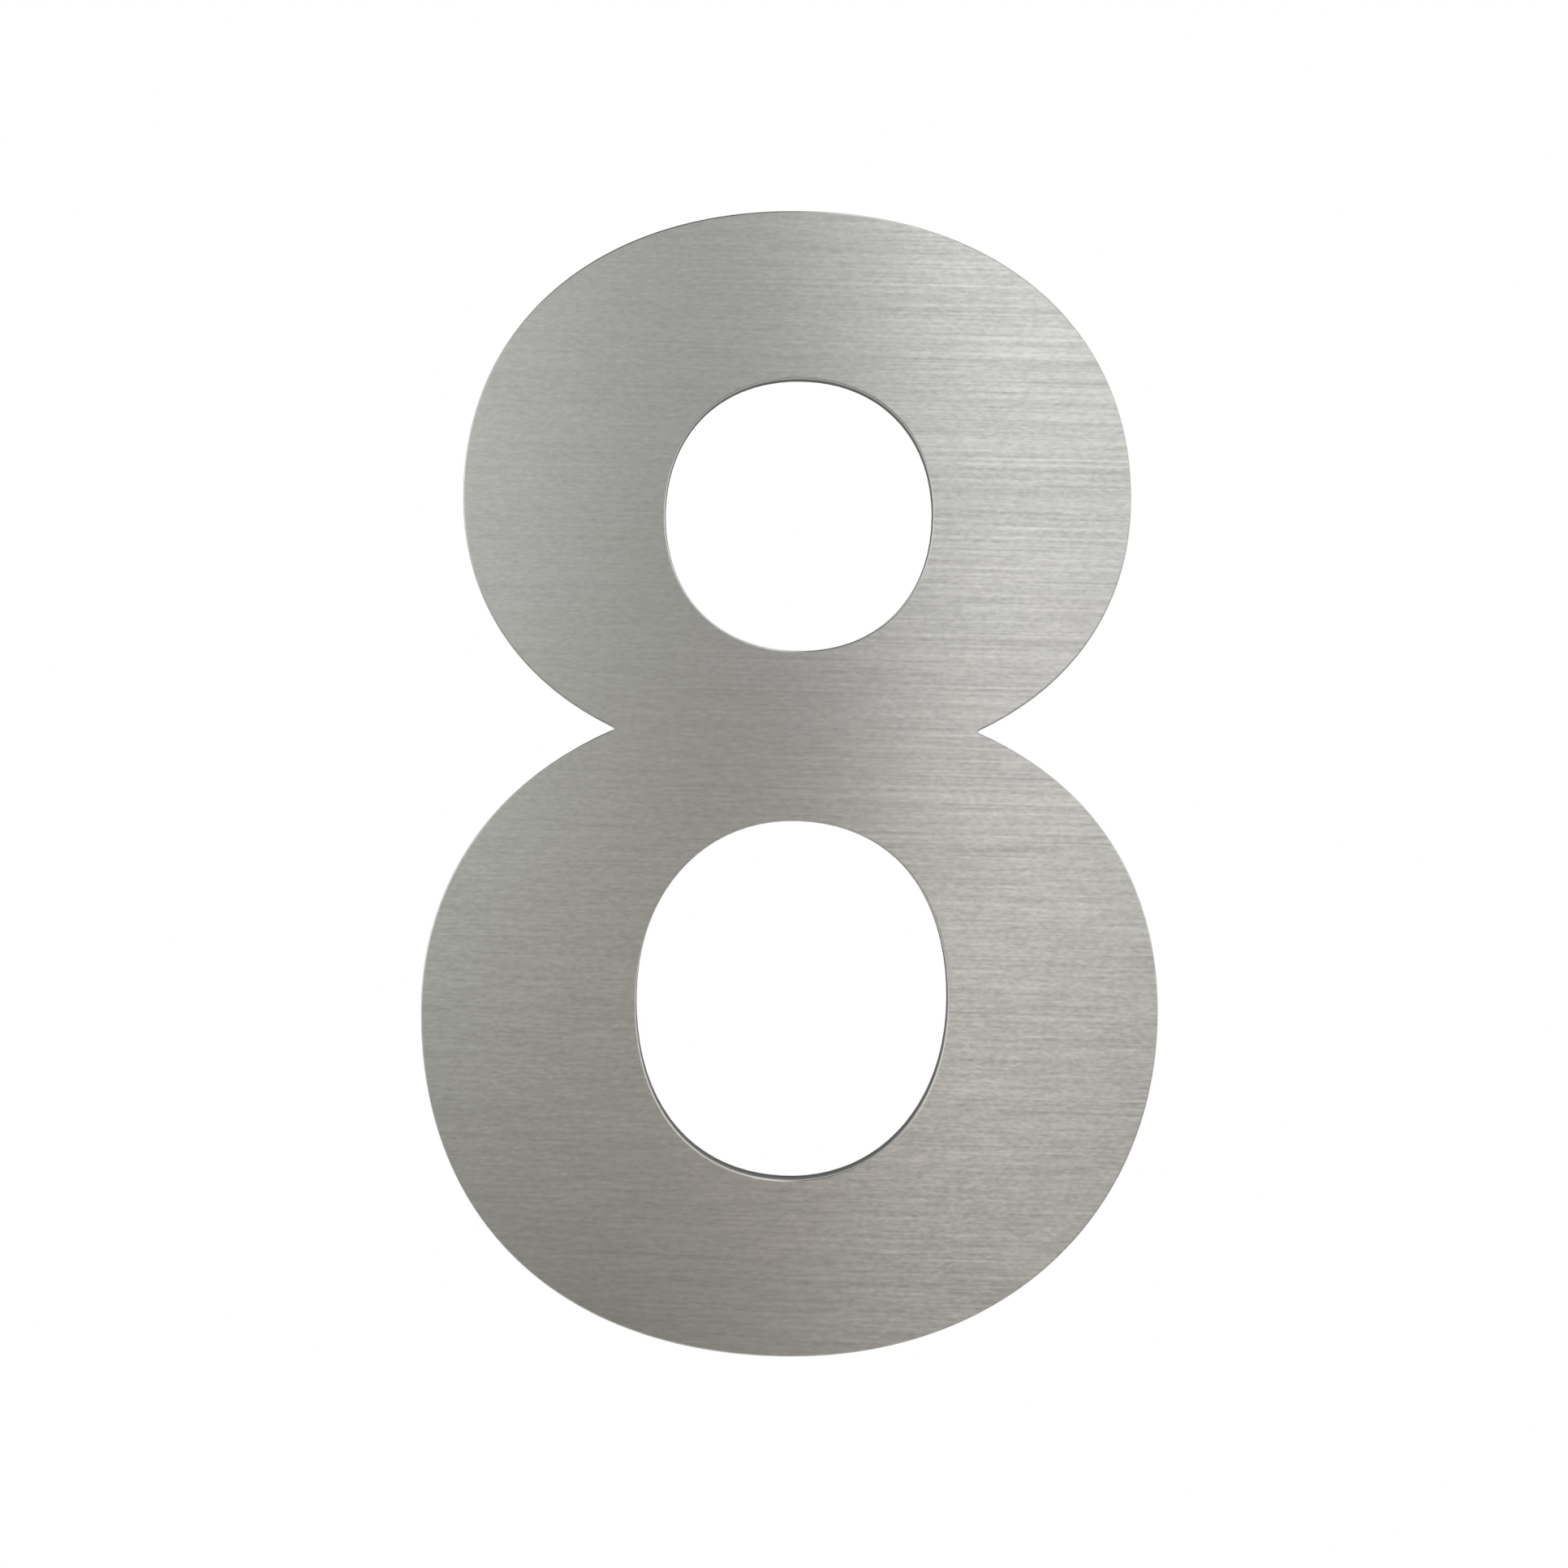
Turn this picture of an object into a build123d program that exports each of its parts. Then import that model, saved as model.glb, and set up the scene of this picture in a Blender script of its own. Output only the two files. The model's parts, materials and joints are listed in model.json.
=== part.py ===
from build123d import *
import os

# A house number, the numeral 8: a flat plate with a sheet of adhesive and its release liner on the back.
# It stands upright with its face towards -Y. The plane y = 0 is the back of the liner, and the origin is
# the middle of that plane, halfway up the number. All sizes are in millimetres.

# The stack, from the wall outwards
liner_thickness = 0.1
adhesive_thickness = 0.2
plate_thickness = 3.0
edge_break = 0.2          # rounding where the plate's face meets its cut edges

# The drawing of the numeral: two oval bowls that run into each other, each around its own open counter
curve_fullness = 0.60     # how far a quarter curve's handles reach towards its corner; 0.552 is an ellipse
bowl_overlap = 9.1        # height over which the two ovals run into each other
notch_radius = 0.2        # smallest inside radius of the cut, in the two notches of the waist
counter_shift = 0.3       # both counters sit this far to the right of the bowls' axis

# Upper bowl
upper_width = 87.5
upper_height = 72.7
upper_belly = 35.1        # height of the bowl's widest line above its own foot
upper_side_band = 26.2    # width of the band between counter and outline, at the sides
upper_head_band = 22.0    # above the counter
upper_foot_band = 15.1    # below the counter

# Lower bowl
lower_width = 96.5
lower_height = 86.4
lower_belly = 45.2
lower_side_band = 27.8
lower_head_band = 16.3
lower_foot_band = 23.1
lower_lean = 0.015        # extra fullness at the lower left and upper right, taken from the other quarters

# Heights above and below the origin
number_height = upper_height + lower_height - bowl_overlap
lower_foot = -number_height / 2
lower_head = lower_foot + lower_height
upper_foot = lower_head - bowl_overlap

# Counters, each set into its bowl by the widths of the band around it
upper_counter_width = upper_width - 2 * upper_side_band
upper_counter_height = upper_height - upper_head_band - upper_foot_band
lower_counter_width = lower_width - 2 * lower_side_band
lower_counter_height = lower_height - lower_head_band - lower_foot_band


def draw_oval(width, height, foot, belly, shift=0.0, lean=0.0, mode=Mode.ADD):
    """Draw a closed oval of four quarter curves, which join smoothly at its four outermost points.

    foot is the height of its lowest point, and belly the height of its widest line above that.
    """
    half_width = width / 2
    head = foot + height
    widest = foot + belly
    fuller = curve_fullness + lean
    leaner = curve_fullness - lean
    quarters = ((1, head, fuller), (1, foot, leaner), (-1, foot, fuller), (-1, head, leaner))
    with BuildLine() as outline:
        for side, tip, fullness in quarters:
            flank = shift + side * half_width
            Bezier(
                (shift, tip),
                (shift + side * half_width * fullness, tip),
                (flank, widest + (tip - widest) * fullness),
                (flank, widest),
            )
    make_face(outline.edges(), mode=mode)


def draw_numeral():
    """Draw both bowls as one outline, ease the two notches at the waist and cut out the counters."""
    draw_oval(lower_width, lower_height, lower_foot, lower_belly, lean=lower_lean)
    draw_oval(upper_width, upper_height, upper_foot, upper_belly)
    notches = vertices().filter_by_position(Axis.Y, upper_foot, lower_head)
    fillet(notches, notch_radius)
    draw_oval(
        lower_counter_width,
        lower_counter_height,
        lower_foot + lower_foot_band,
        lower_counter_height / 2,
        shift=counter_shift,
        lean=lower_lean,
        mode=Mode.SUBTRACT,
    )
    draw_oval(
        upper_counter_width,
        upper_counter_height,
        upper_foot + upper_foot_band,
        upper_counter_height / 2,
        shift=counter_shift,
        mode=Mode.SUBTRACT,
    )


os.makedirs("parts", exist_ok=True)

# Release liner: the thin sheet that is peeled off before the number is put up
with BuildPart() as release_liner:
    with BuildSketch(Plane.XZ):
        draw_numeral()
    extrude(amount=liner_thickness)
release_liner.part.label = "release_liner"
export_step(release_liner.part, "parts/release_liner.step")

# Adhesive: covers the whole back of the plate
with BuildPart() as adhesive_sheet:
    with BuildSketch(Plane.XZ.offset(liner_thickness)):
        draw_numeral()
    extrude(amount=adhesive_thickness)
adhesive_sheet.part.label = "adhesive_sheet"
export_step(adhesive_sheet.part, "parts/adhesive_sheet.step")

# Plate: the number itself, with the edges of its face broken
with BuildPart() as number_plate:
    with BuildSketch(Plane.XZ.offset(liner_thickness + adhesive_thickness)):
        draw_numeral()
    extrude(amount=plate_thickness)
    face = faces().sort_by(Axis.Y)[0]
    fillet(face.edges(), edge_break)
number_plate.part.label = "number_plate"
export_step(number_plate.part, "parts/number_plate.step")
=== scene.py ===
"""Looks for a house number: the numeral 8 in brushed steel plate, with an adhesive and its liner on the back.

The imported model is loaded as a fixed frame. The plate and the adhesive keep their solids and get their finish
here. The liner is laid over the back as a thin sheet of its own, cut to the outline that the frame gives.
Lengths are in metres, and the face of the number looks towards -Y.
"""
import json
import math

import bpy
import numpy as np
from bpy.props import FloatProperty, FloatVectorProperty, IntProperty, PointerProperty
from mathutils import Matrix, Vector


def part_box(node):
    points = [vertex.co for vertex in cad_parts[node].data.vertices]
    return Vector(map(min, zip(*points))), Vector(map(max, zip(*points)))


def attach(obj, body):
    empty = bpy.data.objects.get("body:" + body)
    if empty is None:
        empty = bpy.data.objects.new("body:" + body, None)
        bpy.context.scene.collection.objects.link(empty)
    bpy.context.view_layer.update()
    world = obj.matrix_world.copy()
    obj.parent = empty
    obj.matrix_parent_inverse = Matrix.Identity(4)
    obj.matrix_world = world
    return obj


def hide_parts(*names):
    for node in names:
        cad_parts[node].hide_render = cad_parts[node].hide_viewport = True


bl_info = {
    "name": "House Number Eight",
    "version": (1, 0, 0),
    "blender": (4, 5, 0),
    "location": "View3D > Sidebar > House Number",
    "description": "Finishes the plate, adhesive and liner of a house number and sets its stage",
    "category": "Object",
}

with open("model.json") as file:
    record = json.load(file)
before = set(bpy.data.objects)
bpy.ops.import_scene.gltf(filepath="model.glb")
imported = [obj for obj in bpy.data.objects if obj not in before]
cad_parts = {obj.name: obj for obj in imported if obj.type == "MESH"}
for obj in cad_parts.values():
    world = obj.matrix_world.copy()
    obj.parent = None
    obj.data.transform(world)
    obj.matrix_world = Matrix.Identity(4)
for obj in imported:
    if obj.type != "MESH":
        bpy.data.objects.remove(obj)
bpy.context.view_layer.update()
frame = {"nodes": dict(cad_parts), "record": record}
MM = 0.001
WHITE = (1.0, 1.0, 1.0)

# Where in the noise each grain starts, so that no two are alike, and how many finer grains lie over it
GRAINS = {
    "fine lines": (0.31, 2.0),
    "short lines": (0.45, 2.0),
    "middle lines": (0.57, 2.0),
    "long lines": (0.83, 2.0),
    "steel patches": (0.4, 2.0),
    "cut lines": (0.2, 3.0),
    "adhesive": (0.1, 4.0),
    "show-through": (0.6, 0.5),
    "fibres": (0.9, 4.0),
}
UNCHANGING = 1.0  # size of a grain, so large that the noise stays the same in that direction
ACROSS_LINES = 0.25  # the quarter turn that draws highlights out across the brush lines and not along them

# Turns along x and z over the longest wave, and where the sine starts, for each wave of the liner
LINER_WAVES = ((0.8, 0.6, 0.0), (0.5, -1.3, 1.0), (1.9, 1.1, 2.0))
SHARP_EDGE = math.radians(30.0)  # faces of the liner that meet at more than this keep a sharp edge
IN_PLANE = 1e-7  # points this close to a plane lie in it
OUTLINE_DIGITS = 7  # decimals of a metre to which points of the outline are told apart
ON_CHORD = 1e-9  # area under which a point and the waist's chord count as in line
MERGE_DIGITS = 9  # decimals of a metre to which points of the two rings are told apart

FLOOR_POINTS = 9  # points along each side of the floor
SENSOR = 36.0  # width of the camera's sensor in millimetres
NEAREST = 0.01  # the nearest that the camera can see


class Value:
    """An output socket. Sums, differences and products of values and numbers add Math nodes."""

    def __init__(self, nodes, socket):
        self.nodes = nodes
        self.socket = socket

    def maths(self, operation, first, second):
        return self.nodes.add("ShaderNodeMath", {"operation": operation}, {0: first, 1: second})

    def __add__(self, other):
        return self.maths("ADD", self, other)

    __radd__ = __add__

    def __sub__(self, other):
        return self.maths("SUBTRACT", self, other)

    def __rsub__(self, other):
        return self.maths("SUBTRACT", other, self)

    def __mul__(self, other):
        return self.maths("MULTIPLY", self, other)

    __rmul__ = __mul__


class Nodes:
    """The nodes of one material or world, emptied first."""

    def __init__(self, owner):
        owner.use_nodes = True
        self.tree = owner.node_tree
        self.tree.nodes.clear()

    def add(self, kind, settings=None, inputs=None, output=0):
        """Add a node, set its settings, then give each named socket its value or link. Return one output."""
        node = self.tree.nodes.new(kind)
        for name, setting in (settings or {}).items():
            setattr(node, name, setting)
        for name, given in (inputs or {}).items():
            if isinstance(given, Value):
                self.tree.links.new(given.socket, node.inputs[name])
            else:
                node.inputs[name].default_value = given
        if len(node.outputs) == 0:
            return None
        return Value(self, node.outputs[output])

    def place(self):
        """The point on the piece, in metres."""
        return self.add("ShaderNodeTexCoord", output="Object")

    def part(self, vector, axis):
        """One of a vector's three parts."""
        return self.add("ShaderNodeSeparateXYZ", None, {"Vector": vector}, axis)

    def reach(self, vector):
        """The length of a vector."""
        return self.add("ShaderNodeVectorMath", {"operation": "LENGTH"}, {0: vector}, "Value")

    def grain(self, name, place, size, turn=0.0):
        """Noise from 0 to 1 whose grains have a size along x, y and z, turned about y."""
        start, detail = GRAINS[name]
        stretched = self.add(
            "ShaderNodeMapping",
            {"vector_type": "TEXTURE"},
            {"Vector": place, "Location": even(start), "Rotation": (0.0, turn, 0.0), "Scale": size},
        )
        return self.add("ShaderNodeTexNoise", None, {"Vector": stretched, "Scale": 1.0, "Detail": detail})

    def rise(self, value, low, high):
        """A soft step from 0 at low to 1 at high."""
        inputs = {"Value": value, "From Min": low, "From Max": high}
        return self.add("ShaderNodeMapRange", {"interpolation_type": "SMOOTHSTEP"}, inputs)

    def patch(self, right, up, middle, size):
        """A soft oval, 1 in its middle and 0 from its size outwards."""
        across = (right - middle[0]) * (1.0 / size[0])
        along = (up - middle[1]) * (1.0 / size[1])
        offset = self.add("ShaderNodeCombineXYZ", None, {"X": across, "Y": along})
        return 1.0 - self.rise(self.reach(offset), 0.0, 1.0)

    def blend(self, amount, first, second):
        """A colour that goes from first to second as the amount goes from 0 to 1."""
        settings = {"data_type": "RGBA", "clamp_factor": True}
        return self.add("ShaderNodeMix", settings, {0: amount, 6: first, 7: second}, output=2)

    def sum(self, first, second):
        """Two colours of light added up."""
        return self.add("ShaderNodeVectorMath", {"operation": "ADD"}, {0: first, 1: second})

    def shade(self, tint, level):
        """A colour made lighter or darker by a level."""
        return self.add("ShaderNodeVectorMath", {"operation": "SCALE"}, {0: tint, "Scale": level})

    def relief(self, height, depth):
        """A normal that follows a height from 0 to 1, which stands for a depth in metres."""
        inputs = {"Height": height, "Strength": 1.0, "Distance": depth}
        return self.add("ShaderNodeBump", None, inputs, "Normal")

    def surface(self, inputs):
        """A shader with the values and links of its sockets."""
        return self.add("ShaderNodeBsdfPrincipled", None, inputs)

    def finish(self, shader):
        """Make a shader the material's surface."""
        self.add("ShaderNodeOutputMaterial", None, {"Surface": shader})


def opaque(tint):
    """A colour with full alpha, as a colour socket takes it."""
    return (*tint, 1.0)


def even(number):
    """The same number for x, y and z."""
    return (number, number, number)


def between(ends, value):
    """The number from the first end to the second as a value goes from 0 to 1."""
    return ends[0] + (ends[1] - ends[0]) * value


def length(name, default, description):
    """A setting for a length."""
    return FloatProperty(name=name, default=default, description=description, unit="LENGTH", precision=5)


def angle(name, default, description):
    """A setting for an angle."""
    return FloatProperty(name=name, default=default, description=description, subtype="ANGLE")


def point(name, default, description):
    """A setting for a place in space."""
    return FloatVectorProperty(
        name=name, default=default, description=description, subtype="XYZ", unit="LENGTH", precision=5
    )


def colour(name, default, description):
    """A setting for the colour of a surface."""
    return FloatVectorProperty(
        name=name, default=default, description=description, subtype="COLOR", size=3, min=0.0, max=1.0
    )


def light(name, default, description):
    """A setting for the colour of a light, which may be stronger than 1."""
    return FloatVectorProperty(
        name=name, default=default, description=description, subtype="COLOR", size=3, min=0.0, soft_max=2.0
    )


def numbers(name, default, description, unit="NONE"):
    """A setting for two or three numbers that belong together."""
    return FloatVectorProperty(
        name=name, default=default, description=description, size=len(default), unit=unit, precision=4
    )


def share(name, default, description):
    """A setting from 0 to 1."""
    return FloatProperty(
        name=name, default=default, description=description, subtype="FACTOR", min=0.0, max=1.0
    )


class PlateFinish(bpy.types.PropertyGroup):
    """Brushed face, broken edge and cut walls of the plate."""

    steel: colour("Steel", (0.556, 0.556, 0.53), "Colour of the brushed face")
    warm: numbers("Warm patches", (1.01, 0.995, 0.995), "Tint of the warmer patches, times the steel")
    cool: numbers("Cool patches", (0.99, 1.005, 1.005), "Tint of the cooler patches, times the steel")
    patch_width: length("Patch width", 60.0 * MM, "Width of the warmer and cooler patches")
    patch_height: length("Patch height", 25.0 * MM, "Height of the warmer and cooler patches")
    brush_spacing: length("Brush line spacing", 0.37 * MM, "Height from one brush line to the next")
    brush_turn: angle("Brush line slope", math.radians(0.4), "How far the brush lines drop towards the right")
    # Painted sheen: the lines are the steel's own grain, but their contrast grows towards the right and the
    # foot, where the light brought them out
    brush_contrast: share("Brush line contrast", 0.5, "How far single lines differ in tone at the right")
    brush_fade: share("Brush line fade", 0.6, "How much weaker the longer lines are at the left")
    brush_depth: length("Brush line depth", 0.0014 * MM, "Depth of the brush lines")
    brush_gloss: share("Brush line gloss", 0.02, "How much less rough the paler lines are")
    right_reach: numbers(
        "Right", (-20.0 * MM, 25.0 * MM), "Where along x the lines of the right begin and are full", "LENGTH"
    )
    foot_reach: numbers(
        "Foot", (-30.0 * MM, 10.0 * MM), "Where along z the lines of the foot are full and end", "LENGTH"
    )
    fine_line: length("Fine lines", 0.9 * MM, "Length of the finest brush lines")
    fine_weight: numbers("Fine weight", (0.42, 0.5, 0.16), "Their weight all over, at the right and the foot")
    short_line: length("Short lines", 3.5 * MM, "Length of the short brush lines")
    short_weight: numbers("Short weight", (0.3, 0.25), "Their weight at the right and at the foot")
    middle_line: length("Middle lines", 12.0 * MM, "Length of the middling brush lines")
    middle_weight: numbers("Middle weight", (0.72, 0.22), "Their weight at the right and at the foot")
    long_line: length("Long lines", 140.0 * MM, "Length of the longest brush lines")
    long_weight: numbers("Long weight", (1.05, 0.6), "Their weight at the right, and the share lost below")
    face_roughness: share("Face roughness", 0.218, "Roughness of the brushed face")
    anisotropy: share("Brush anisotropy", 0.8, "How far highlights are drawn out across the brush lines")
    edge_break: length("Broken edge", 0.2 * MM, "Width of the rounding around the face")
    lines_end: numbers("Lines end", (0.02, 0.2), "Shares of that edge where brush lines begin to end and end")
    walls_begin: numbers("Walls begin", (0.85, 1.1), "Shares of that edge where cut walls begin and are full")
    # Painted light: the cut walls are paler next to the face, where the front light falls, and the dark at the
    # back is the cut's own colour
    cut_edge: colour("Cut edge", (0.06, 0.058, 0.055), "Colour of the cut walls at the back")
    cut_front_painted_light: colour("Cut front", (0.17, 0.17, 0.165), "Colour of the cut walls next to the face")
    painted_light_depth: length("Cut fade", 2.4 * MM, "Depth at which the paler front of the cut walls has ended")
    cut_lines: length("Cut lines", 0.25 * MM, "Spacing of the lines that cutting left across the walls")
    cut_length: length("Cut line length", 6.0 * MM, "Length of those lines")
    cut_depth: length("Cut line depth", 0.02 * MM, "Depth of those lines")
    cut_tone: numbers("Cut line tone", (0.7, 1.3), "Levels of the darkest and the palest of them")
    cut_roughness: numbers("Cut roughness", (0.5, 0.8), "Roughness of the darkest and the palest of them")
    cut_gloss: share("Cut gloss", 0.15, "How much the cut walls reflect")


class AdhesiveFinish(bpy.types.PropertyGroup):
    """The adhesive between plate and liner."""

    film: colour("Adhesive", (0.72, 0.73, 0.62), "Colour of the adhesive")
    cloud: length("Clouds", 6.0 * MM, "Size of the paler and darker clouds")
    tone: numbers("Tone", (0.92, 1.08), "Levels of the darkest and the palest clouds")
    roughness: numbers("Roughness", (0.3, 0.5), "Roughness of the darkest and the palest clouds")
    depth: length("Depth", 0.02 * MM, "How far the clouds stand out")


class LinerSheet(bpy.types.PropertyGroup):
    """The liner that covers the adhesive until the number is put up."""

    paper: colour("Liner", (0.78, 0.8, 0.78), "Colour of the liner")
    cream: colour("Show-through", (0.74, 0.755, 0.685), "Colour where the adhesive shows through")
    cloud: length("Clouds", 70.0 * MM, "Size of the clouds where the adhesive shows through")
    cloud_edge: numbers("Cloud edge", (0.3, 0.7), "Levels of the noise where a cloud begins and is full")
    fibre: length("Fibre", 0.8 * MM, "Size of the fibres in the sheet")
    fibre_depth: length("Fibre depth", 0.01 * MM, "How far the fibres stand out")
    fibre_tone: numbers("Fibre tone", (0.95, 1.05), "Levels of the darkest and the palest fibres")
    fibre_roughness: numbers("Fibre roughness", (0.4, 0.55), "Roughness of the darkest and the palest fibres")
    coat: share("Coat", 0.15, "Strength of the coat that lets the liner peel off")
    coat_roughness: share("Coat roughness", 0.25, "Roughness of that coat")
    rows: IntProperty(name="Rows", default=24, min=4, description="Rows of faces across the numeral's band")
    chord_points: IntProperty(name="Waist points", default=40, min=4, description="Points across the waist")
    wave_height: length("Wave height", 0.05 * MM, "How far the sheet rises and falls over the back")
    wave_length: length("Wave length", 24.0 * MM, "Length of the longest waves")
    edge_roll: length("Rolled edge", 0.03 * MM, "How far the cut pressed the sheet's edge down")
    edge_reach: length("Rolled edge width", 0.3 * MM, "How far in from the edge that goes")


class StageSettings(bpy.types.PropertyGroup):
    """Floor, light and camera. Places of lights are how far right and up their directions point."""

    floor: colour("Floor", (0.86, 0.85, 0.83), "Colour of the floor")
    floor_roughness: share("Floor roughness", 0.8, "Roughness of the floor")
    floor_drop: length("Floor drop", 0.55, "Height of the number's middle above the floor")
    floor_reach: length("Floor reach", 1.2, "How far the floor goes to each side")
    floor_fade: numbers("Floor fade", (0.35, 0.98), "Shares of that reach where its fade begins and ends")
    room: light("Room", (0.08, 0.08, 0.08), "Light from the dim part of the room around the camera")
    walls: light("Walls", (0.35, 0.35, 0.36), "Light from the paler walls at both sides")
    wall_edge: numbers("Wall edge", (0.1, 0.4), "How far to a side, squared, the walls begin and are full")
    key: light("Key", (1.54, 1.54, 1.56), "Light from the wide soft panel at the front right")
    key_edge: numbers("Key edge", (-0.04, 0.11), "How far right the key begins and is full")
    key_far: numbers("Key far edge", (0.0, 0.35), "How far right the key begins to dim and has dimmed")
    key_dim: share("Key dimming", 0.55, "How much the key dims towards the far right")
    key_foot: numbers("Key foot", (-0.43, 0.2), "How far up the key begins and is full")
    fill: light("Fill", (0.927, 0.945, 0.928), "Light from the soft panel at the front left")
    fill_edge: numbers("Fill edge", (-0.16, 0.042), "How far right the fill begins to end and has ended")
    fill_lean: share("Fill lean", 0.14, "How far right the fill's edge leans as it goes up")
    fill_foot: numbers("Fill foot", (-0.283, -0.019), "How far up the fill begins and is full")
    fill_top: numbers("Fill top", (0.3, 0.5), "How far up the fill begins to end and has ended")
    bounce: light("Bounce", (1.217, 1.036, 0.9), "Warm light from the low card below the camera")
    bounce_place: numbers("Bounce place", (0.046, -0.163), "How far right and up the card's middle is")
    bounce_size: numbers("Bounce size", (0.264, 0.08), "How far the card reaches sideways and upwards")
    shade: share("Camera shade", 1.0, "How much of the light the camera itself keeps off the number")
    shade_place: numbers("Camera shade place", (0.031, -0.012), "How far right and up its middle is")
    shade_size: numbers("Camera shade size", (0.055, 0.18), "How far that shade reaches sideways and upwards")
    rear: light("Rear", (0.9, 0.9, 0.9), "Light from the white behind the number")
    rear_edge: numbers("Rear edge", (-0.3, 0.3), "How far back the white begins and is full")
    lens: FloatProperty(name="Lens", default=57.2, description="Focal length in millimetres", unit="CAMERA")
    camera_place: point("Camera place", (-0.0066, -0.3293, 0.0128), "Where the camera stands")
    camera_aim: point("Camera aim", (-0.001155, -0.0033, -0.000051), "The point in the middle of the picture")
    camera_roll: angle("Camera roll", math.radians(0.862), "How far the camera leans anticlockwise")


class HouseNumberSettings(bpy.types.PropertyGroup):
    """All settings of the house number."""

    plate: PointerProperty(name="Plate", type=PlateFinish, description="Finish of the plate")
    adhesive: PointerProperty(name="Adhesive", type=AdhesiveFinish, description="Finish of the adhesive")
    liner: PointerProperty(name="Liner", type=LinerSheet, description="Shape and finish of the liner")
    stage: PointerProperty(name="Stage", type=StageSettings, description="Floor, light and camera")


def brush_lines(nodes, place, finish):
    """The level of the brush lines, about 0: four layers of noise drawn out along them, times their weights.

    A weight grows with how far right and how far down a point lies, which paints in the sheen that brought the
    lines out there. That of the long lines grows with the square of the first and shrinks with the second.
    """
    # Painted sheen: the lines stand out more towards the right and the foot, where the light brought them out
    painted_sheen_share = 1.0 - finish.brush_fade * (1.0 - nodes.rise(nodes.part(place, "X"), *finish.right_reach))
    lower = 1.0 - nodes.rise(nodes.part(place, "Z"), *finish.foot_reach)
    fine_all, fine_right, fine_foot = finish.fine_weight
    short_right, short_foot = finish.short_weight
    middle_right, middle_foot = finish.middle_weight
    long_right, long_loss = finish.long_weight
    layers = (
        ("fine lines", finish.fine_line, fine_all + fine_right * painted_sheen_share + fine_foot * lower),
        ("short lines", finish.short_line, short_right * painted_sheen_share + short_foot * lower),
        ("middle lines", finish.middle_line, middle_right * painted_sheen_share + middle_foot * lower),
        ("long lines", finish.long_line, long_right * painted_sheen_share * painted_sheen_share * (1.0 - long_loss * lower)),
    )
    lines = 0.0
    for name, line, weight in layers:
        streak = nodes.grain(name, place, (line, UNCHANGING, finish.brush_spacing), finish.brush_turn)
        lines = lines + weight * (streak - 0.5)
    return lines


def brushed_plate(finish):
    """Brush lines on the face, a smoother broken edge around it, and cut walls that darken to the back.
    Their paler front is painted light from the front, over the cut's own dark colour.
    """
    material = bpy.data.materials.new("brushed_plate_finish")
    nodes = Nodes(material)
    place = nodes.place()
    depth = nodes.part(place, "Y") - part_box("number_plate")[0].y

    on_face = 1.0 - nodes.rise(depth, *np.multiply(finish.lines_end, finish.edge_break))
    lines = on_face * brush_lines(nodes, place, finish)
    patches = nodes.grain("steel patches", place, (finish.patch_width, UNCHANGING, finish.patch_height))
    warm = opaque(np.multiply(finish.steel, finish.warm))
    cool = opaque(np.multiply(finish.steel, finish.cool))
    face = nodes.surface({
        "Base Color": nodes.shade(nodes.blend(patches, warm, cool), 1.0 + finish.brush_contrast * lines),
        "Metallic": 1.0,
        "Roughness": finish.face_roughness - finish.brush_gloss * lines,
        "Anisotropic": finish.anisotropy,
        "Anisotropic Rotation": ACROSS_LINES,
        "Normal": nodes.relief(lines, finish.brush_depth),
    })

    striae = nodes.grain("cut lines", place, (finish.cut_lines, finish.cut_length, finish.cut_lines))
    # Painted light: the walls are paler next to the face, where the front light falls, and fade to the cut's
    # own dark colour at the back
    fade = nodes.rise(depth, finish.edge_break, finish.painted_light_depth)
    cut = nodes.blend(fade, opaque(finish.cut_front_painted_light), opaque(finish.cut_edge))
    wall = nodes.surface({
        "Base Color": nodes.shade(cut, between(finish.cut_tone, striae)),
        "Roughness": between(finish.cut_roughness, striae),
        "Specular IOR Level": finish.cut_gloss,
        "Normal": nodes.relief(striae, finish.cut_depth),
    })
    on_wall = nodes.rise(depth, *np.multiply(finish.walls_begin, finish.edge_break))
    nodes.finish(nodes.add("ShaderNodeMixShader", None, {0: on_wall, 1: face, 2: wall}))
    return material


def adhesive_film(finish):
    """A cloudy, slightly glossy film."""
    material = bpy.data.materials.new("adhesive_film_finish")
    nodes = Nodes(material)
    cloud = nodes.grain("adhesive", nodes.place(), even(finish.cloud))
    film = nodes.surface({
        "Base Color": nodes.shade(finish.film, between(finish.tone, cloud)),
        "Roughness": between(finish.roughness, cloud),
        "Normal": nodes.relief(cloud, finish.depth),
    })
    nodes.finish(film)
    return material


def liner_paper(finish):
    """Smooth coated paper with fine fibres and a soft gloss, and clouds where the adhesive shows through."""
    material = bpy.data.materials.new("liner_paper_finish")
    nodes = Nodes(material)
    place = nodes.place()
    cloud = nodes.grain("show-through", place, even(finish.cloud))
    fibre = nodes.grain("fibres", place, even(finish.fibre))
    tinted = nodes.blend(nodes.rise(cloud, *finish.cloud_edge), opaque(finish.paper), opaque(finish.cream))
    paper = nodes.surface({
        "Base Color": nodes.shade(tinted, between(finish.fibre_tone, fibre)),
        "Roughness": between(finish.fibre_roughness, fibre),
        "Coat Weight": finish.coat,
        "Coat Roughness": finish.coat_roughness,
        "Normal": nodes.relief(fibre, finish.fibre_depth),
    })
    nodes.finish(paper)
    return material


def dress(piece, material):
    """Give a piece its finish, in place of any that it had."""
    piece.data.materials.clear()
    piece.data.materials.append(material)


def mesh_points(mesh):
    """All points of a mesh as one array."""
    points = np.zeros(3 * len(mesh.vertices), np.float32)
    mesh.vertices.foreach_get("co", points)
    return points.reshape(-1, 3).astype(float)


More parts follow.
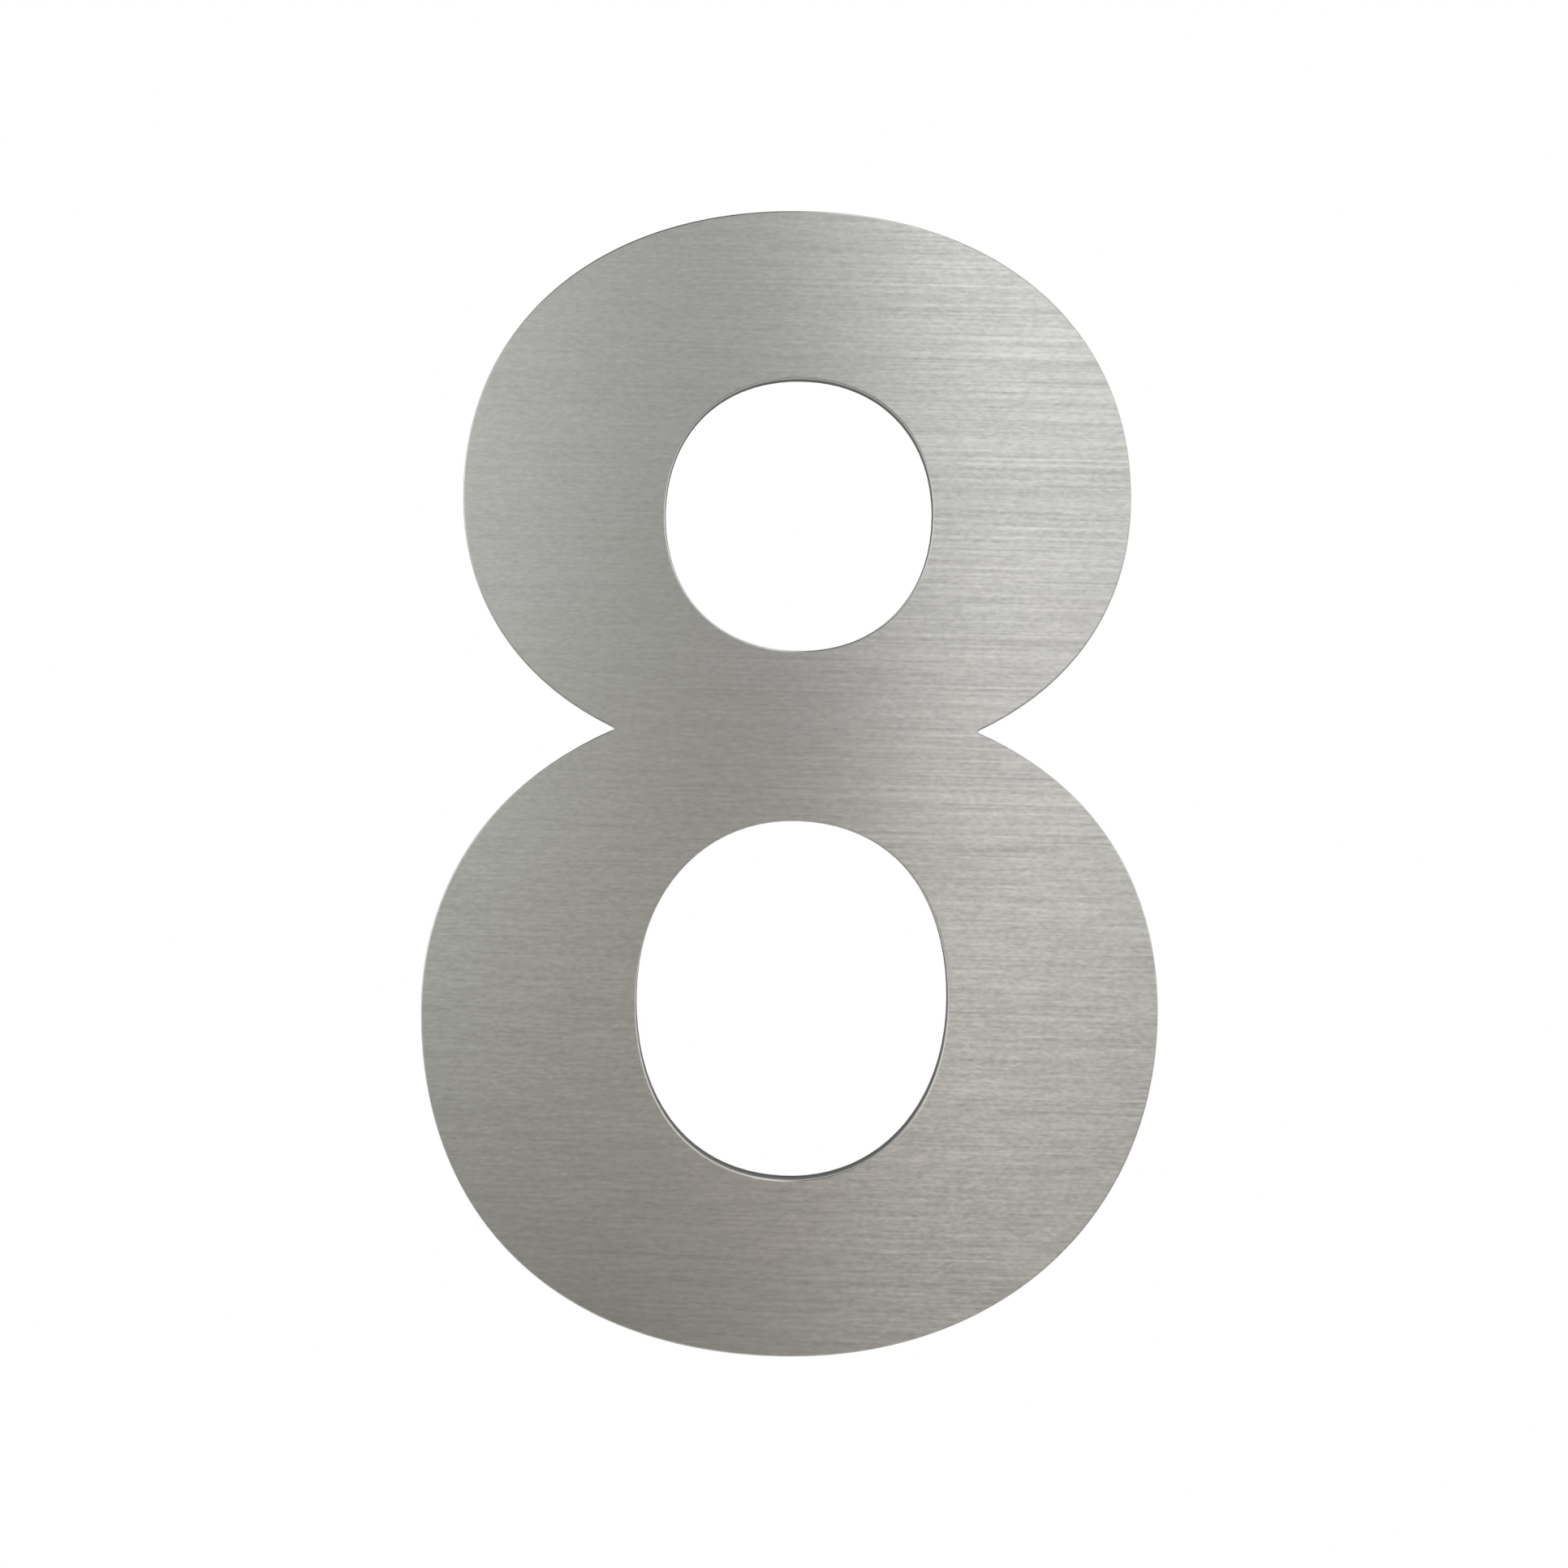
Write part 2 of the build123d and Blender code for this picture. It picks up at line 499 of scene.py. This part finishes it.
def rear_area(mesh):
    """Area of a flat mesh's rear face: half the cross product of two sides, summed over its triangles."""
    points = mesh_points(mesh)
    corners = np.zeros(len(mesh.loops), np.int32)
    mesh.loops.foreach_get("vertex_index", corners)
    triangles = points[corners.reshape(-1, 3)]
    rear = np.ptp(triangles[:, :, 1], axis=1) < IN_PLANE
    rear &= triangles[:, 0, 1] > points[:, 1].max() - IN_PLANE
    first = triangles[rear, 1] - triangles[rear, 0]
    second = triangles[rear, 2] - triangles[rear, 0]
    return float(np.linalg.norm(np.cross(first, second), axis=1).sum() / 2)


def rear_outline(mesh):
    """The points on the rim of a flat mesh's rear face, as x and z."""
    points = mesh_points(mesh)
    rear = points[points[:, 1] > points[:, 1].max() - IN_PLANE]
    return np.unique(np.round(rear[:, [0, 2]], OUTLINE_DIGITS), axis=0)


def counter_centres():
    """The middles of the two open counters, as x and z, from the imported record's openings."""
    openings = frame["record"]["physics"]["openings"]
    boxes = np.array([opening["box_m"] for opening in openings])
    return boxes.mean(axis=1)[:, [0, 2]]


def counter_rim(outline, centre):
    """Which points of the outline are a counter's rim: those closer to its middle than the widest gap."""
    distance = np.linalg.norm(outline - centre, axis=1)
    ordered = np.sort(distance)
    return distance <= ordered[np.argmax(np.diff(ordered))]


def waist_chord(outer, low, high, count):
    """A straight row of points across the waist, between the outline's innermost points from low to high."""
    waist = outer[(outer[:, 1] > low) & (outer[:, 1] < high)]
    left = waist[waist[:, 0] < 0]
    right = waist[waist[:, 0] > 0]
    ends = left[np.argmax(left[:, 0])], right[np.argmin(right[:, 0])]
    return np.linspace(*ends, count)


def bearing(points, centre):
    """The direction of each point from a centre, as an angle."""
    return np.arctan2(points[:, 1] - centre[1], points[:, 0] - centre[0])


def ring(counter, outer, chord, centre, rows):
    """A grid of points around a counter, and how far each is from the nearest cut edge.

    Along the ring, the grid has the points of the outline and the chord in the order of their bearings from
    the counter's middle. Across it, a point is the straight blend from the counter's rim at that bearing to
    the outline, by a share that runs from 0 to 1 as half of 1 - cos, so that rows crowd towards both rims.
    """
    rim = np.concatenate([outer, chord])
    cut = np.arange(len(rim)) <= len(outer)
    cut[-1] = True
    turn = np.argsort(bearing(rim, centre))
    rim = rim[turn]
    cut = cut[turn]
    order = np.argsort(bearing(counter, centre))
    known = bearing(counter, centre)[order]
    asked = bearing(rim, centre)
    inner = np.stack([np.interp(asked, known, counter[order, axis], period=math.tau) for axis in (0, 1)], -1)
    across = 0.5 - 0.5 * np.cos(math.pi * np.linspace(0.0, 1.0, rows + 1))
    points = inner[:, None] + (rim - inner)[:, None] * across[None, :, None]
    band = np.linalg.norm(rim - inner, axis=1)[:, None]
    from_outline = np.where(cut[:, None], band * (1.0 - across), np.inf)
    return points, np.minimum(band * across, from_outline)


def ring_faces(around, across):
    """Quads of a grid that closes on itself along its first direction."""
    index = np.arange(around * across).reshape(around, across)
    onward = np.roll(index, -1, axis=0)
    quads = [index[:, :-1], index[:, 1:], onward[:, 1:], onward[:, :-1]]
    return np.stack(quads, axis=-1).reshape(-1, 4)


def waves(points, longest):
    """Waves from 0 to 1 over a sheet: the mean of sines of different lengths and directions."""
    x = math.tau * points[:, 0] / longest
    z = math.tau * points[:, 1] / longest
    sines = [np.sin(along_x * x + along_z * z + start) for along_x, along_z, start in LINER_WAVES]
    return 0.5 + 0.5 * np.mean(sines, axis=0)


def liner_mesh(node, sheet):
    """The liner as one closed mesh, cut to the outline of its CAD node.

    Two rings of quads lie around the counters and share the chord across the waist. The rear surface lies
    below the rear of the node by the waves and by a rolled edge, which falls off exponentially from the cut
    edges. The front surface is flat, and a strip of quads along every open edge closes the two.
    """
    outline = rear_outline(node.data)
    upper, lower = counter_centres()
    in_upper = counter_rim(outline, upper)
    in_lower = counter_rim(outline, lower)
    outer = outline[~in_upper & ~in_lower]
    chord = waist_chord(outer, lower[1], upper[1], sheet.chord_points)
    side = chord[-1] - chord[0]
    offset = outer - chord[0]
    above = side[0] * offset[:, 1] - side[1] * offset[:, 0]
    upper_ring = ring(outline[in_upper], outer[above > ON_CHORD], chord, upper, sheet.rows)
    lower_ring = ring(outline[in_lower], outer[above < -ON_CHORD], chord, lower, sheet.rows)

    flat = np.concatenate([points.reshape(-1, 2) for points, edge in (upper_ring, lower_ring)])
    edge = np.concatenate([edge.reshape(-1) for points, edge in (upper_ring, lower_ring)])
    first = ring_faces(*upper_ring[0].shape[:2])
    second = ring_faces(*lower_ring[0].shape[:2]) + upper_ring[1].size
    flat = np.round(flat, MERGE_DIGITS)
    flat, kept, index = np.unique(flat, axis=0, return_index=True, return_inverse=True)
    faces = index.reshape(-1)[np.concatenate([first, second])]
    edge = edge[kept]

    low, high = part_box("release_liner")
    dip = sheet.wave_height * waves(flat, sheet.wave_length)
    dip = dip + sheet.edge_roll * np.exp(-edge / sheet.edge_reach)
    rear = np.stack([flat[:, 0], high.y - dip, flat[:, 1]], axis=-1)
    front = np.stack([flat[:, 0], np.full(len(flat), low.y), flat[:, 1]], axis=-1)

    sides = np.concatenate([faces[:, [turn, (turn + 1) % 4]] for turn in range(4)])
    spot, uses = np.unique(np.sort(sides, axis=1), axis=0, return_index=True, return_counts=True)[1:]
    if uses.max() > 2:
        raise RuntimeError("The liner's two rings overlap at the waist")
    open_sides = sides[spot[uses == 1]]
    strip = np.concatenate([open_sides[:, ::-1], open_sides + len(flat)], axis=1)
    quads = np.concatenate([faces, faces[:, ::-1] + len(flat), strip])

    mesh = bpy.data.meshes.new("release_liner_sheet")
    mesh.from_pydata(np.concatenate([rear, front]).tolist(), [], quads.tolist())
    mesh.shade_smooth()
    mesh.set_sharp_from_angle(angle=SHARP_EDGE)
    return mesh


class BrushPlate(bpy.types.Operator):
    """Give the plate its brushed face, broken edge and dark cut walls"""

    bl_idname = "house_number.brush_plate"
    bl_label = "Brush the plate"

    def execute(self, context):
        dress(frame["nodes"]["number_plate"], brushed_plate(context.scene.house_number.plate))
        return {"FINISHED"}


class CoatAdhesive(bpy.types.Operator):
    """Give the adhesive its cloudy film"""

    bl_idname = "house_number.coat_adhesive"
    bl_label = "Coat the adhesive"

    def execute(self, context):
        dress(frame["nodes"]["adhesive_sheet"], adhesive_film(context.scene.house_number.adhesive))
        return {"FINISHED"}


class LayLiner(bpy.types.Operator):
    """Lay the liner over the adhesive as a thin sheet"""

    bl_idname = "house_number.lay_liner"
    bl_label = "Lay the liner"

    def execute(self, context):
        settings = context.scene.house_number.liner
        node = frame["nodes"]["release_liner"]
        liner = bpy.data.objects.new("release_liner_sheet", liner_mesh(node, settings))
        context.scene.collection.objects.link(liner)
        dress(liner, liner_paper(settings))
        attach(liner, "root")
        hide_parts("release_liner")
        rear_area(node.data)
        return {"FINISHED"}


def grid_floor(stage):
    """A level square: x and y each run from one side to the other on a grid, and z is the drop."""
    steps = stage.floor_reach * np.linspace(-1.0, 1.0, FLOOR_POINTS)
    across, along = np.meshgrid(steps, steps, indexing="ij")
    points = np.stack([across, along, np.full_like(across, -stage.floor_drop)], axis=-1).reshape(-1, 3)
    index = np.arange(steps.size**2).reshape(steps.size, steps.size)
    faces = np.stack([index[:-1, :-1], index[1:, :-1], index[1:, 1:], index[:-1, 1:]], axis=-1).reshape(-1, 4)
    mesh = bpy.data.meshes.new("floor")
    mesh.from_pydata(points.tolist(), [], faces.tolist())
    floor = bpy.data.objects.new("floor", mesh)
    bpy.context.scene.collection.objects.link(floor)
    return floor


def floor_paint(stage):
    """Pale paint that fades out towards the rim, where the white beyond shows through."""
    material = bpy.data.materials.new("floor_paint")
    nodes = Nodes(material)
    level = {0: nodes.place(), 1: (1.0, 1.0, 0.0)}
    flat = nodes.add("ShaderNodeVectorMath", {"operation": "MULTIPLY"}, level)
    fade = nodes.rise(nodes.reach(flat), *np.multiply(stage.floor_fade, stage.floor_reach))
    paint = nodes.surface({
        "Base Color": opaque(stage.floor),
        "Roughness": stage.floor_roughness,
        "Alpha": 1.0 - fade,
    })
    nodes.finish(paint)
    return material


def studio_world(stage):
    """A room of soft lights by direction in front of the number, and white behind it and for the camera.

    A light is a product of soft steps of how far right and up a direction points, or a soft oval of the two.
    """
    world = bpy.data.worlds.new("studio")
    nodes = Nodes(world)
    direction = nodes.add("ShaderNodeTexCoord", output="Generated")
    right = nodes.part(direction, "X")
    up = nodes.part(direction, "Z")
    behind = nodes.rise(nodes.part(direction, "Y"), *stage.rear_edge)

    walls = nodes.rise(right * right, *stage.wall_edge)
    key = nodes.rise(right, *stage.key_edge) * nodes.rise(up, *stage.key_foot)
    key = key * (1.0 - stage.key_dim * nodes.rise(right, *stage.key_far))
    fill = 1.0 - nodes.rise(right - stage.fill_lean * up, *stage.fill_edge)
    fill = fill * nodes.rise(up, *stage.fill_foot) * (1.0 - nodes.rise(up, *stage.fill_top))
    bounce = nodes.patch(right, up, stage.bounce_place, stage.bounce_size)
    room = stage.room
    for tint, level in ((stage.walls, walls), (stage.key, key), (stage.fill, fill), (stage.bounce, bounce)):
        room = nodes.sum(room, nodes.shade(tint, level))
    open_share = 1.0 - stage.shade * nodes.patch(right, up, stage.shade_place, stage.shade_size)
    around = nodes.blend(behind, nodes.shade(room, open_share), opaque(stage.rear))

    seen = nodes.add("ShaderNodeLightPath", output="Is Camera Ray")
    mirrored = nodes.add("ShaderNodeLightPath", output="Is Glossy Ray")
    through = nodes.add("ShaderNodeLightPath", output="Is Transmission Ray")
    white = seen + behind * (mirrored + through)
    glow = nodes.add("ShaderNodeBackground", None, {"Color": nodes.blend(white, around, opaque(WHITE))})
    nodes.add("ShaderNodeOutputWorld", None, {"Surface": glow})
    bpy.context.scene.world = world


def photo_camera(stage):
    """A camera that looks straight at the face, rolled, and shifted to bring its aim to the middle."""
    camera = bpy.data.objects.new("camera", bpy.data.cameras.new("camera"))
    camera.data.lens = stage.lens
    camera.data.sensor_width = SENSOR
    camera.data.clip_start = NEAREST
    level = Vector((0.0, 1.0, 0.0)).to_track_quat("-Z", "Y").to_matrix().to_4x4()
    roll = Matrix.Rotation(stage.camera_roll, 4, "Z")
    camera.matrix_world = Matrix.Translation(stage.camera_place) @ level @ roll
    aim = camera.matrix_world.inverted() @ Vector(stage.camera_aim)
    camera.data.shift_x = aim.x / -aim.z * stage.lens / SENSOR
    camera.data.shift_y = aim.y / -aim.z * stage.lens / SENSOR
    bpy.context.scene.collection.objects.link(camera)
    bpy.context.scene.camera = camera


class SetStage(bpy.types.Operator):
    """Set the floor, the light and the camera"""

    bl_idname = "house_number.set_stage"
    bl_label = "Set the stage"

    def execute(self, context):
        stage = context.scene.house_number.stage
        dress(grid_floor(stage), floor_paint(stage))
        studio_world(stage)
        photo_camera(stage)
        context.scene.view_settings.view_transform = "Standard"
        return {"FINISHED"}


class HouseNumberPanel(bpy.types.Panel):
    """Settings and steps of the house number"""

    bl_idname = "HOUSENUMBER_PT_sidebar"
    bl_label = "House Number"
    bl_space_type = "VIEW_3D"
    bl_region_type = "UI"
    bl_category = "House Number"

    def draw(self, context):
        settings = context.scene.house_number
        for step, group in STEPS:
            box = self.layout.box()
            box.operator(step.bl_idname)
            chosen = getattr(settings, group)
            for name in chosen.__annotations__:
                box.prop(chosen, name)


STEPS = ((BrushPlate, "plate"), (CoatAdhesive, "adhesive"), (LayLiner, "liner"), (SetStage, "stage"))
CLASSES = (
    PlateFinish,
    AdhesiveFinish,
    LinerSheet,
    StageSettings,
    HouseNumberSettings,
    *(step for step, group in STEPS),
    HouseNumberPanel,
)


def register():
    """Make the settings, the steps and the panel known to Blender."""
    for cls in CLASSES:
        bpy.utils.register_class(cls)
    bpy.types.Scene.house_number = PointerProperty(
        name="House number", type=HouseNumberSettings, description="Settings of the house number"
    )


def unregister():
    """Take them away again."""
    del bpy.types.Scene.house_number
    for cls in reversed(CLASSES):
        bpy.utils.unregister_class(cls)


def main():
    """Take every step in order."""
    register()
    bpy.ops.house_number.brush_plate()
    bpy.ops.house_number.coat_adhesive()
    bpy.ops.house_number.lay_liner()
    bpy.ops.house_number.set_stage()


if __name__ == "__main__":
    main()
